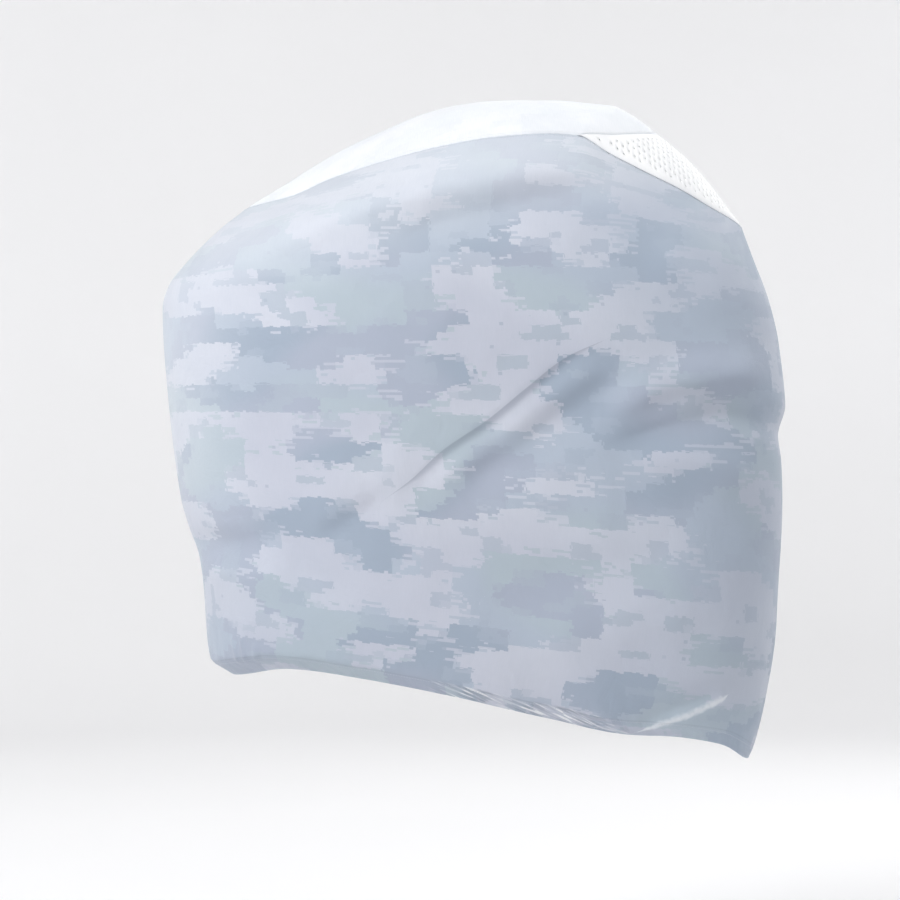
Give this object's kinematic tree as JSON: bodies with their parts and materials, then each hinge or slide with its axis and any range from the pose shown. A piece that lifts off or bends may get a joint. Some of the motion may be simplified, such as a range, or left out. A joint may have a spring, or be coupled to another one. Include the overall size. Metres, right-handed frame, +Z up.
{
  "type": "outboard motor cover",
  "caption": "Fitted cloth cover that pulls down over an outboard motor's cowling and holds under its lip with an elastic hem.",
  "frame": {"origin": "the underside of the cover's crown, where the cowling that it is pulled over carries it", "axes": "+X aft, towards the propeller, +Y to starboard, +Z up"},
  "size_m": [0.8518, 0.6114, 0.9],
  "materials": {
    "printed_cloth": "blue-grey camouflage print, slight sheen",
    "vent_cloth": "white perforated cloth, satin"
  },
  "bodies": {
    "root": {"side_panel_port": "printed_cloth", "side_panel_starboard": "printed_cloth", "top_panel": "printed_cloth", "vent_panel": "vent_cloth"}
  },
  "joints": []
}
